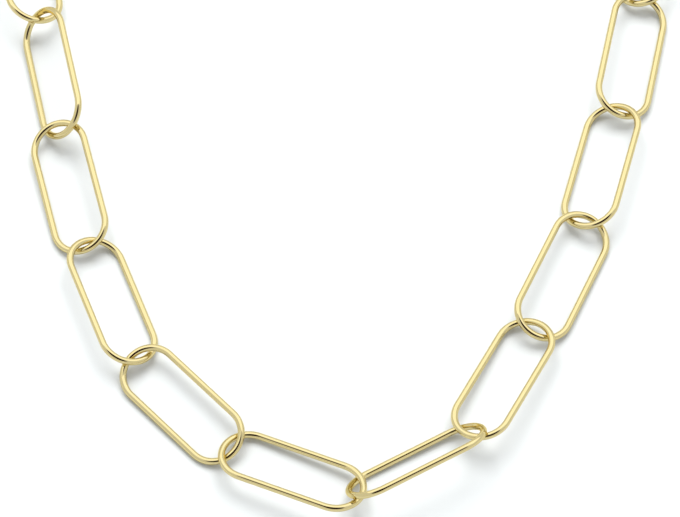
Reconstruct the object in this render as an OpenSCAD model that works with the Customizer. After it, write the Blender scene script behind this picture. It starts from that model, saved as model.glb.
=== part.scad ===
// Paperclip chain necklace of polished gold wire, lying closed on a flat surface.
// Millimetres, +Z up from the surface, +X to the right, +Y from the front links to the clasp.
// The chain is followed one way round: down the left side, along the front, up the right
// side and back to the clasp, so the inside of the loop is always on its left.

/* [Link] */
// Length of a link, outside to outside
link_length = 22; // [18:0.5:28]
// Width of a link, outside to outside
link_width = 9; // [7.5:0.5:12]
// Thickness of the round wire
wire_d = 1; // [0.8:0.1:1.2]

/* [Clasp] */
// Thickness of the clasp's hoop
hoop_d = 1.6; // [1.2:0.1:2]
// Play of the first link's wire inside the hoop
hoop_play = 3.3; // [2.9:0.1:4.5]
// Thickness of the clasp's eye
eye_d = 1; // [0.8:0.1:1.2]
// Play of the last link's wire inside the eye
eye_play = 2.6; // [2.4:0.1:4]
// Length of the neck between the eye and the hoop
neck_length = 0.8; // [0.5:0.1:2]
// Thickness of the neck
neck_d = 1.4; // [1.2:0.1:1.6]
// Length of the thumb piece on the side of the hoop
thumb_length = 1.5; // [1:0.1:2.5]
// Thickness of the thumb piece's stem
thumb_d = 0.9; // [0.8:0.1:1.2]
// Thickness of the ball on its end, in stem thicknesses
thumb_ball = 1.4; // [1.3:0.1:2]

/* [Lie] */
// Free gap where one piece passes through another
gap = 0.15; // [0.1:0.01:0.25]
// Number of links on each side of the clasp, behind the front ones; odd, as they lean to and fro
back_links = 5; // [5:2:9]
// How much higher one side of a back link lies than the other, in wire thicknesses
back_climb = 2.6; // [2.4:0.1:3.2]
// Lean of the clasp on its side, in degrees
clasp_lean = 36; // [32:1:45]

/* [Hidden] */
$fn = 48;
link_r = (link_width - wire_d) / 2;
link_reach = link_length - link_width;
hoop_r = (wire_d + hoop_play + hoop_d) / 2;
eye_r = (wire_d + eye_play + eye_d) / 2;
clasp_reach = eye_r + eye_d / 2 + neck_length + hoop_d / 2 + hoop_r;

// Front links in order down the left side, along the front and up the right side.
// Heading in degrees; how much higher the inner side lies than the outer one; how far the
// near and the far end are held off the surface; and the next link's shift towards the
// inside. All but the headings are in wire thicknesses.
HEADING = 0;
CLIMB = 1;
NEAR_RISE = 2;
FAR_RISE = 3;
SHIFT = 4;
front = [
    [-82.5, -3.1, 0.0, 1.3, 0.6],
    [-77.0, 5.7, 0.3, 0.2, -1.4],
    [-75.0, 2.6, 0.7, 0.1, 0.6],
    [-68.0, -2.9, 0.0, 0.0, -0.3],
    [-45.0, 2.0, 0.1, 0.0, -0.2],
    [-22.0, -2.3, 0.3, 1.0, 0.1],
    [28.0, -6.0, 0.0, 0.3, 0.7],
    [61.0, -2.1, 1.2, 0.3, -0.3],
    [64.5, 2.2, 0.2, 0.0, 0.5],
    [74.0, -3.0, 0.1, 0.0, -0.4],
    [77.5, 2.6, 0.3, 0.1, 0.2],
    [83.5, -3.1, 0.0, 0.1, 0.0]
];

// A piece as it lies: heading, pitch, lean, the radii of its near and far ring, their
// thicknesses, the distance between the rings' centres and the near ring's height.
function along(piece) = [
    cos(piece[0]) * cos(piece[1]), sin(piece[0]) * cos(piece[1]), sin(piece[1])
];
function across(piece) =
    let (level = [-sin(piece[0]), cos(piece[0]), 0])
    cos(piece[2]) * level + sin(piece[2]) * cross(along(piece), level);
function near_r(piece) = piece[3];
function far_r(piece) = piece[4];
function near_d(piece) = piece[5];
function far_d(piece) = piece[6];
function reach(piece) = piece[7];
function near_z(piece) = piece[8];
function far_z(piece) = near_z(piece) + reach(piece) * along(piece)[2];

// Height of a ring's centre when the ring rests on the surface
function rest_z(r, d, pitch, lean) = r * norm([sin(pitch), sin(lean) * cos(pitch)]) + d / 2;

function laid_link(heading, climb, near_rise, far_rise) =
    let (
        lean = asin(climb * wire_d / (2 * link_r)),
        pitch = asin((far_rise - near_rise) * wire_d / link_reach)
    )
    [heading, pitch, lean, link_r, link_r, wire_d, wire_d, link_reach,
        rest_z(link_r, wire_d, pitch, lean) + near_rise * wire_d];

function laid_clasp(heading, lean, pitch, passes) =
    let (
        near = rest_z(eye_r, eye_d, pitch, lean),
        far = rest_z(hoop_r, hoop_d, pitch, lean)
    )
    passes < 1
        ? [heading, pitch, lean, eye_r, hoop_r, eye_d, hoop_d, clasp_reach, near]
        : laid_clasp(heading, lean, asin((far - near) / clasp_reach), passes - 1);

// Least distance between the far ring of one piece and the near ring of the next,
// with the next ring's centre offset from the first one's, sampled along the next half ring
sample_turn = 6;
sample_end = 84;
function ring_distance(piece, next, offset) = min([
    for (turn = [-sample_end : sample_turn : sample_end])
        let (
            point = offset - near_r(next) * (cos(turn) * along(next) - sin(turn) * across(next)),
            flat = [point * along(piece), point * across(piece)],
            height = point * cross(along(piece), across(piece))
        )
        norm([norm(flat) - far_r(piece), height])
]);

function heading_of(angle) = [cos(angle), sin(angle), 0];
function joint_offset(piece, next, way, shift, overlap) =
    (far_r(piece) + near_r(next) - overlap) * heading_of(way)
    + shift * wire_d * heading_of(way + 90)
    + [0, 0, near_z(next) - far_z(piece)];

// How far two rings reach into each other when they are drawn as tight as the gap allows,
// found by halving
halvings = 16;
function overlap(piece, next, way, shift, low, high, steps) =
    let (
        middle = (low + high) / 2,
        needed = (far_d(piece) + near_d(next)) / 2 + gap,
        distance = ring_distance(piece, next, joint_offset(piece, next, way, shift, middle))
    )
    steps < 1 ? high
        : distance < needed ? overlap(piece, next, way, shift, middle, high, steps - 1)
        : overlap(piece, next, way, shift, low, middle, steps - 1);
function tight_overlap(piece, next, way, shift) =
    overlap(piece, next, way, shift, 0, min(far_r(piece), near_r(next)), halvings);

// Front links as they lie, and the step from each one's far ring to the next one's near ring
front_pieces = [
    for (row = front) laid_link(row[HEADING], row[CLIMB], row[NEAR_RISE], row[FAR_RISE])
];
front_steps = [
    for (i = [0 : len(front) - 2])
        let (
            piece = front_pieces[i],
            next = front_pieces[i + 1],
            way = (front[i][HEADING] + front[i + 1][HEADING]) / 2
        )
        joint_offset(piece, next, way, front[i][SHIFT],
            tight_overlap(piece, next, way, front[i][SHIFT]))
];

// Back links lean to and fro. The way round turns by the same angle on both sides of the
// clasp, a little more at each joint towards it, and their joints are judged straight and
// at the sharpest bend.
front_last = len(front) - 1;
half_turn = (front[0][HEADING] + 360 - front[front_last][HEADING]) / 2;
sharpest_bend = 26;
function back_sign(k) = k % 2 == 0 ? 1 : -1;
clasp_sign = -back_sign(back_links - 1);
back_overlap = max([
    for (bend = [0, sharpest_bend])
        tight_overlap(laid_link(0, back_climb, 0, 0), laid_link(bend, -back_climb, 0, 0), bend / 2, 0)
]);
back_step = 2 * link_r - back_overlap;

// The clasp lies square to the line that closes the loop, with a link bent away on each
// side. Its pitch follows from its rings' heights, and they from its pitch.
pitch_passes = 4;
flat_clasp = laid_clasp(0, clasp_sign * clasp_lean, 0, pitch_passes);
last_link = laid_link(-sharpest_bend, -clasp_sign * back_climb, 0, 0);
first_link = laid_link(sharpest_bend, -clasp_sign * back_climb, 0, 0);
eye_step = link_r + eye_r - tight_overlap(last_link, flat_clasp, 0, 0);
hoop_step = hoop_r + link_r - tight_overlap(flat_clasp, first_link, 0, 0);
clasp_run = eye_step + reach(flat_clasp) * along(flat_clasp)[0] + hoop_step;

// Rings' centres along the front, from the first link's near ring
function walk(pieces, steps) = [
    for (
        i = 0, place = [0, 0, near_z(pieces[0])];
        i < len(pieces);
        place = i < len(steps) ? place + reach(pieces[i]) * along(pieces[i]) + steps[i] : place,
        i = i + 1
    ) place
];
front_places = walk(front_pieces, front_steps);
front_end = front_places[front_last] + link_reach * along(front_pieces[front_last]);

// The line from the front's far end to its near end, and how round the way over it must be
// to close the loop: each back link's heading differs from the line's by back_turn
back_from = front_end + back_step * heading_of(front[front_last][HEADING]);
back_to = front_places[0] - back_step * heading_of(front[0][HEADING]);
chord = [back_to[0] - back_from[0], back_to[1] - back_from[1]];
chord_heading = 180 - atan2(chord[1], -chord[0]);
function back_turn(k, round) = half_turn * (1 - pow((k + 1) / (back_links + 1), round));
function sum(list, from = 0) = from < len(list) ? list[from] + sum(list, from + 1) : 0;
function back_span(round) =
    clasp_run
    + 2 * link_reach * sum([for (k = [0 : back_links - 1]) cos(back_turn(k, round))])
    + 2 * back_step * sum([
        for (k = [0 : back_links - 2]) cos((back_turn(k, round) + back_turn(k + 1, round)) / 2)
    ]);
function closing(low, high, steps) =
    let (middle = (low + high) / 2)
    steps < 1 ? middle
        : back_span(middle) > norm(chord) ? closing(middle, high, steps - 1)
        : closing(low, middle, steps - 1);
roundness = closing(0.5, 5, 2 * halvings);

right_back = [
    for (k = [0 : back_links - 1])
        laid_link(chord_heading - back_turn(k, roundness), back_sign(k) * back_climb, 0, 0)
];
left_back = [
    for (k = [back_links - 1 : -1 : 0])
        laid_link(chord_heading + back_turn(k, roundness), back_sign(k) * back_climb, 0, 0)
];
clasp_piece = laid_clasp(chord_heading, clasp_sign * clasp_lean, 0, pitch_passes);
function level_step(length, way, piece, next) =
    length * heading_of(way) + [0, 0, near_z(next) - far_z(piece)];
function back_joint(piece, next) = level_step(back_step, (piece[0] + next[0]) / 2, piece, next);

// All pieces and steps from the clasp, round the loop and back to it
count = 2 * back_links + len(front);
pieces = concat([clasp_piece], left_back, front_pieces, right_back);
steps = concat(
    [level_step(hoop_step, chord_heading, clasp_piece, left_back[0])],
    [for (k = [0 : back_links - 2]) back_joint(left_back[k], left_back[k + 1])],
    [level_step(back_step, front[0][HEADING], left_back[back_links - 1], front_pieces[0])],
    front_steps,
    [level_step(back_step, front[front_last][HEADING], front_pieces[front_last], right_back[0])],
    [for (k = [0 : back_links - 2]) back_joint(right_back[k], right_back[k + 1])]
);
places = walk(pieces, steps);

// Corners of the box round a piece's two rings
function ring_half(piece, r, d) = [
    for (axis = [0 : 2]) r * norm([along(piece)[axis], across(piece)[axis]]) + d / 2
];
function high_corner(i, side) =
    let (
        near = places[i] + side * ring_half(pieces[i], near_r(pieces[i]), near_d(pieces[i])),
        far = places[i] + reach(pieces[i]) * along(pieces[i])
            + side * ring_half(pieces[i], far_r(pieces[i]), far_d(pieces[i]))
    )
    [for (axis = [0 : 1]) side * max(side * near[axis], side * far[axis])];
highs = [for (i = [0 : count]) high_corner(i, 1)];
lows = [for (i = [0 : count]) high_corner(i, -1)];
middle = [
    for (axis = [0 : 1]) (max([for (c = highs) c[axis]]) + min([for (c = lows) c[axis]])) / 2
];

// Moves a piece drawn from its near ring's centre along +X to where it lies
module lay(i) {
    translate([places[i][0] - middle[0], places[i][1] - middle[1], places[i][2]])
        rotate([pieces[i][2], -pieces[i][1], pieces[i][0]])
            children();
}

// Part of a ring of round wire about Z, from one angle round by a sweep
module ring_part(r, d, from, sweep) {
    rotate([0, 0, from])
        rotate_extrude(angle = sweep)
            translate([r, 0])
                circle(d = d);
}

// Straight round wire from one point to another in the XY plane
module straight(from, to, d) {
    run = to - from;
    translate([from[0], from[1], 0])
        rotate([0, 90, atan2(run[1], run[0])])
            cylinder(d = d, h = norm(run));
}

// One link: two straight sides joined by two half rings
module link(i) {
    color("gold")
        lay(i) {
            ring_part(link_r, wire_d, 90, 180);
            translate([link_reach, 0, 0])
                ring_part(link_r, wire_d, -90, 180);
            for (side = [-link_r, link_r])
                straight([0, side], [link_reach, side], wire_d);
        }
}

// The clasp: an eye, a neck and a round hoop with a thumb piece on its outer side
module clasp() {
    thumb_end = hoop_r + hoop_d / 2 + thumb_length;
    color("gold")
        lay(0) {
            ring_part(eye_r, eye_d, 0, 360);
            straight([eye_r, 0], [clasp_reach - hoop_r, 0], neck_d);
            translate([clasp_reach, 0, 0]) {
                ring_part(hoop_r, hoop_d, 0, 360);
                straight([0, -hoop_r], [0, -thumb_end], thumb_d);
                translate([0, -thumb_end, 0])
                    sphere(d = thumb_ball * thumb_d);
            }
        }
}

clasp();
for (i = [1 : count])
    link(i);
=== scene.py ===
import math

import bpy
import numpy as np
from mathutils import Matrix, Vector


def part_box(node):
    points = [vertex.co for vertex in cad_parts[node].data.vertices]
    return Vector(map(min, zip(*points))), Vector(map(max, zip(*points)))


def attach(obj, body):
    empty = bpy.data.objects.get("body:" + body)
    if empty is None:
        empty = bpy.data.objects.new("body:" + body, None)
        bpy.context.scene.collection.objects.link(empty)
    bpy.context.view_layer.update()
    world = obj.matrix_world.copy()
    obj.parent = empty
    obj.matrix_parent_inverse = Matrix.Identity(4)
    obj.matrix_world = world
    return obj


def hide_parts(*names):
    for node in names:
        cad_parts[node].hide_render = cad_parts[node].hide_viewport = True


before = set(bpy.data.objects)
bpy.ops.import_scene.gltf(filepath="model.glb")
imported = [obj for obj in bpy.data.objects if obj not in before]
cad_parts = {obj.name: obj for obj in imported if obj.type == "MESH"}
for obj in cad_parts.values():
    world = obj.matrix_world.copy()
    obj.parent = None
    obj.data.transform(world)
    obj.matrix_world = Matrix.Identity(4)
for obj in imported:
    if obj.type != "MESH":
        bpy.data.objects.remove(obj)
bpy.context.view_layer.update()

# The view: a photographer's camera on a stand, with a long lens, that looks down on the
# surface from the front. It aims inside the loop, so only the front half of the chain is
# in the frame. Its picture keeps white as white, without the look of film.
MM = 0.001
photo_width_px = 680
pixels_per_mm = 6.853
camera_elevation = math.radians(62.9)
camera_distance = 476 * MM
sensor_width = 36.0
aim_left_of_front_link = 3.8 * MM
aim_behind_front_link = 41.5 * MM
front_link_low, front_link_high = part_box("link_11")
aim = Vector((
    front_link_high[0] - aim_left_of_front_link,
    front_link_low[1] + aim_behind_front_link,
    0,
))

camera_data = bpy.data.cameras.new("camera")
camera_data.sensor_width = sensor_width
camera_data.lens = pixels_per_mm * (camera_distance / MM) * sensor_width / photo_width_px
camera_data.clip_start = 0.01
camera_data.clip_end = 20
camera = bpy.data.objects.new("camera", camera_data)
bpy.context.collection.objects.link(camera)
to_camera = Vector((0, -math.cos(camera_elevation), math.sin(camera_elevation)))
camera.location = aim + camera_distance * to_camera
camera.rotation_euler = (math.pi / 2 - camera_elevation, 0, 0)
bpy.context.scene.camera = camera
bpy.context.scene.view_settings.view_transform = "Standard"

# The surface: a sheet of white card, larger than the necklace on every side. It is matt,
# with a fine felt of fibres, drawn coarser than it is so that it shows, and the light
# burns it out to white away from the shadows.
card_size = 2.4
card_white = "d8dbdb"
fibre_size = 1.11 * MM
fibre_height = 0.05 * MM


def deselect_all():
    """Leaves nothing selected and no object active."""
    for other in bpy.context.selected_objects:
        other.select_set(False)
    bpy.context.view_layer.objects.active = None


def linear(hex_colour):
    """An sRGB hex colour as linear red, green, blue and an alpha of 1."""
    channels = [int(hex_colour[i:i + 2], 16) / 255 for i in (0, 2, 4)]
    return [c / 12.92 if c <= 0.04045 else ((c + 0.055) / 1.055) ** 2.4 for c in channels] + [1]


def add_node(tree, kind, settings=None, inputs=None):
    """Adds a node, sets its properties, and sets or links its inputs."""
    node = tree.nodes.new(kind)
    for name, value in (settings or {}).items():
        setattr(node, name, value)
    for name, value in (inputs or {}).items():
        if isinstance(value, bpy.types.NodeSocket):
            tree.links.new(value, node.inputs[name])
        else:
            node.inputs[name].default_value = value
    return node


def new_material(name):
    """A material with an empty node tree, its tree and its output node."""
    material = bpy.data.materials.new(name)
    material.use_nodes = True
    material.node_tree.nodes.clear()
    return material, material.node_tree, add_node(material.node_tree, "ShaderNodeOutputMaterial")


deselect_all()
bpy.ops.mesh.primitive_plane_add(size=card_size, location=(0, 0, 0))
card = bpy.context.object
card.name = "card"
card_material, tree, output = new_material("white matt card")
place = add_node(tree, "ShaderNodeTexCoord")
fibres = add_node(tree, "ShaderNodeTexNoise", inputs={
    "Vector": place.outputs["Object"], "Scale": 1 / fibre_size, "Detail": 3, "Roughness": 0.6,
})
felt = add_node(tree, "ShaderNodeBump", inputs={
    "Height": fibres.outputs["Fac"], "Strength": 0.03, "Distance": fibre_height,
})
paper = add_node(tree, "ShaderNodeBsdfPrincipled", inputs={
    "Base Color": linear(card_white), "Roughness": 0.9, "Specular IOR Level": 0.2,
    "Normal": felt.outputs["Normal"],
})
tree.links.new(paper.outputs["BSDF"], output.inputs["Surface"])
card.data.materials.append(card_material)

# The light: a tent of white cloth round the table gives even light from all sides. Its
# front is open for the camera, and the dark brown room there shows as small accents in the
# gold. A large softbox above the back lights the wires' upper edges, and a smaller lamp in
# front of it throws soft shadows towards the camera.
tent_light = 0.95
tent_white = "fafcff"
room_brown = "301c00"
opening_inner = math.radians(25)
opening_outer = math.radians(31)
light_distance = 1.2
world = bpy.data.worlds.new("tent")
world.use_nodes = True
bpy.context.scene.world = world
tree = world.node_tree
place = add_node(tree, "ShaderNodeTexCoord")
towards_camera = add_node(tree, "ShaderNodeVectorMath", {"operation": "DOT_PRODUCT"}, {
    0: place.outputs["Generated"], 1: to_camera,
})
opening = add_node(tree, "ShaderNodeMapRange", {"interpolation_type": "SMOOTHSTEP"}, {
    "Value": towards_camera.outputs["Value"],
    "From Min": math.cos(opening_outer), "From Max": math.cos(opening_inner),
})
cloth_or_room = add_node(tree, "ShaderNodeMix", {"data_type": "RGBA"}, {
    0: opening.outputs["Result"], 6: linear(tent_white), 7: linear(room_brown),
})
tent = tree.nodes["Background"]
tent.inputs["Strength"].default_value = tent_light
tree.links.new(cloth_or_room.outputs[2], tent.inputs["Color"])


def softbox(name, elevation, size, radiance):
    """A rectangular light above the back of the table that faces the photographed links."""
    light = bpy.data.lights.new(name, "AREA")
    light.shape = "RECTANGLE"
    light.size, light.size_y = size
    light.energy = radiance * math.pi * size[0] * size[1]
    holder = bpy.data.objects.new(name, light)
    outwards = Vector((0, math.cos(elevation), math.sin(elevation)))
    holder.location = aim + light_distance * outwards
    holder.rotation_euler = outwards.to_track_quat("Z", "Y").to_euler()
    bpy.context.collection.objects.link(holder)
    return holder


softbox("back_softbox", elevation=math.radians(58), size=(2.4, 1.3), radiance=0.7)
key = softbox("key_light", elevation=math.radians(56), size=(1.0, 0.65), radiance=6.4)
key.visible_glossy = False

# The links: round 14-carat gold wire, bent round two pegs into a long ring, soldered shut
# in the middle of one side and polished until the joint is gone. One link is bent here,
# and each link of the chain is a copy of it, laid where its solid lies.
wire_r = 0.5 * MM
link_r = 4 * MM
link_reach = 13 * MM
wire_sides = 40
bend_steps = 36
side_steps = 12

deselect_all()
bpy.ops.mesh.primitive_circle_add(
    vertices=wire_sides, radius=wire_r, location=(-link_reach / 2, link_r, 0),
    rotation=(0, math.pi / 2, 0))
link_wire = bpy.context.object
link_wire.name = "link_wire"
bpy.ops.object.transform_apply(location=True, rotation=True, scale=True)
bpy.ops.object.mode_set(mode="EDIT")
for end, side_run in ((-1, 1), (1, -1)):
    bpy.ops.mesh.spin(
        steps=bend_steps, angle=math.pi, center=(end * link_reach / 2, 0, 0), axis=(0, 0, -1))
    for step in range(side_steps):
        bpy.ops.mesh.extrude_region_move(
            TRANSFORM_OT_translate={"value": (side_run * link_reach / side_steps, 0, 0)})
bpy.ops.mesh.select_all(action="SELECT")
bpy.ops.mesh.remove_doubles(threshold=0.02 * MM)
bpy.ops.mesh.normals_make_consistent(inside=False)
bpy.ops.object.mode_set(mode="OBJECT")
bpy.ops.object.shade_smooth()

# Polished gold: pale yellow from its silver and copper, and deeper yellow where it is seen
# edge on. Its mirror finish is dulled a little here and there by fine handling marks, and
# faint waves are left from the bending.
gold_yellow = "d5c590"
gold_edge = "fbeec2"
wave_length = 3.85 * MM
wave_height = 0.05 * MM
mark_size = 1.43 * MM
gold, tree, output = new_material("polished 14-carat gold")
place = add_node(tree, "ShaderNodeTexCoord")
waves = add_node(tree, "ShaderNodeTexNoise", inputs={
    "Vector": place.outputs["Object"], "Scale": 1 / wave_length, "Detail": 2, "Roughness": 0.4,
})
waviness = add_node(tree, "ShaderNodeBump", inputs={
    "Height": waves.outputs["Fac"], "Strength": 0.25, "Distance": wave_height,
})
handling = add_node(tree, "ShaderNodeTexNoise", inputs={
    "Vector": place.outputs["Object"], "Scale": 1 / mark_size, "Detail": 3, "Roughness": 0.5,
})
dullness = add_node(tree, "ShaderNodeMapRange", inputs={
    "Value": handling.outputs["Fac"], "To Min": 0.04, "To Max": 0.08,
})
metal = add_node(tree, "ShaderNodeBsdfPrincipled", inputs={
    "Base Color": linear(gold_yellow), "Metallic": 1.0, "Specular Tint": linear(gold_edge),
    "Roughness": dullness.outputs["Result"], "Normal": waviness.outputs["Normal"],
})
tree.links.new(metal.outputs["BSDF"], output.inputs["Surface"])


def corners_of(node):
    """The corners of a solid, each one once."""
    corners = np.array([vert.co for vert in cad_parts[node].data.vertices])
    return np.unique(corners.round(7), axis=0)


def box_middle(corners):
    """The middle of the box round the corners."""
    return (corners.min(axis=0) + corners.max(axis=0)) / 2


def placed_by(long, cross, middle):
    """The placement with its X along long, its Y along cross and its origin at middle."""
    upright = Vector(long).cross(Vector(cross))
    turn = Matrix((long, cross, upright)).transposed().to_4x4()
    return Matrix.Translation(Vector(middle)) @ turn


link_names = sorted(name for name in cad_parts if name.startswith("link_"))
for name in link_names:
    link_corners = corners_of(name)
    link_middle = box_middle(link_corners)
    link_long, link_cross, _ = np.linalg.svd(link_corners - link_middle, full_matrices=False)[2]
    link = bpy.data.objects.new(name + "_wire", link_wire.data.copy())
    bpy.context.collection.objects.link(link)
    link.data.transform(placed_by(link_long, link_cross, link_middle))
    link.data.materials.append(gold)
    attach(link, "root")
    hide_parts(name)
bpy.data.objects.remove(link_wire)

# The clasp: a round clasp cast in the same gold in one piece, its eye, neck, hoop and
# thumb piece flowing into each other where they were soldered and polished.
hoop_d = 1.6 * MM
hoop_r = 2.95 * MM
eye_d = 1 * MM
eye_r = 2.3 * MM
neck_length = 0.8 * MM
neck_d = 1.4 * MM
thumb_length = 1.5 * MM
thumb_d = 0.9 * MM
thumb_ball_d = 1.4 * thumb_d
clasp_reach = eye_r + eye_d / 2 + neck_length + hoop_d / 2 + hoop_r
thumb_end = hoop_r + hoop_d / 2 + thumb_length


def clasp_cylinder(middle, length, thickness, rotation):
    """A round bar of the clasp, closed at both ends."""
    bpy.ops.mesh.primitive_cylinder_add(
        vertices=48, radius=thickness / 2, depth=length, location=middle, rotation=rotation)


deselect_all()
bpy.ops.mesh.primitive_torus_add(
    major_radius=hoop_r, minor_radius=hoop_d / 2, major_segments=96, minor_segments=40)
clasp = bpy.context.object
clasp.name = "clasp_body"
bpy.ops.object.mode_set(mode="EDIT")
bpy.ops.mesh.primitive_torus_add(
    location=(-clasp_reach, 0, 0), major_radius=eye_r, minor_radius=eye_d / 2,
    major_segments=80, minor_segments=32)
neck_from = hoop_r
neck_to = clasp_reach - eye_r
clasp_cylinder(
    (-(neck_from + neck_to) / 2, 0, 0), neck_to - neck_from, neck_d, (0, math.pi / 2, 0))
clasp_cylinder(
    (0, -(hoop_r + thumb_end) / 2, 0), thumb_end - hoop_r, thumb_d, (math.pi / 2, 0, 0))
bpy.ops.mesh.primitive_uv_sphere_add(
    segments=48, ring_count=24, radius=thumb_ball_d / 2, location=(0, -thumb_end, 0))
bpy.ops.object.mode_set(mode="OBJECT")
one_skin = clasp.modifiers.new("one_skin", "REMESH")
one_skin.mode = "VOXEL"
one_skin.voxel_size = 0.07 * MM
bpy.ops.object.modifier_apply(modifier="one_skin")
polish = clasp.modifiers.new("polish", "SMOOTH")
polish.factor = 0.5
polish.iterations = 12
bpy.ops.object.modifier_apply(modifier="polish")
bpy.ops.object.shade_smooth()

# How the clasp lies is read from its solid: the least spread of its corners is square to
# it, the corners on the hoop's two crests give the hoop's middle, and the farthest ones the
# eye's end. The thumb piece is on the side that reaches farther from the hoop.
crest_height = 0.485 * hoop_d
clasp_corners = corners_of("clasp")
clasp_normal = np.linalg.svd(clasp_corners - clasp_corners.mean(axis=0), full_matrices=False)[2][2]
heights = clasp_corners @ clasp_normal
heights -= (heights.min() + heights.max()) / 2
hoop_middle = box_middle(clasp_corners[abs(heights) > crest_height])
from_hoop = clasp_corners - hoop_middle
eye_end = from_hoop[np.linalg.norm(from_hoop, axis=1) > clasp_reach].mean(axis=0)
clasp_long = -eye_end / np.linalg.norm(eye_end)
clasp_cross = np.cross(clasp_normal, clasp_long)
sideways = from_hoop @ clasp_cross
if sideways.max() > -sideways.min():
    clasp_cross = -clasp_cross
clasp.data.transform(placed_by(clasp_long, clasp_cross, hoop_middle))
clasp.data.materials.append(gold)
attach(clasp, "root")
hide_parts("clasp")
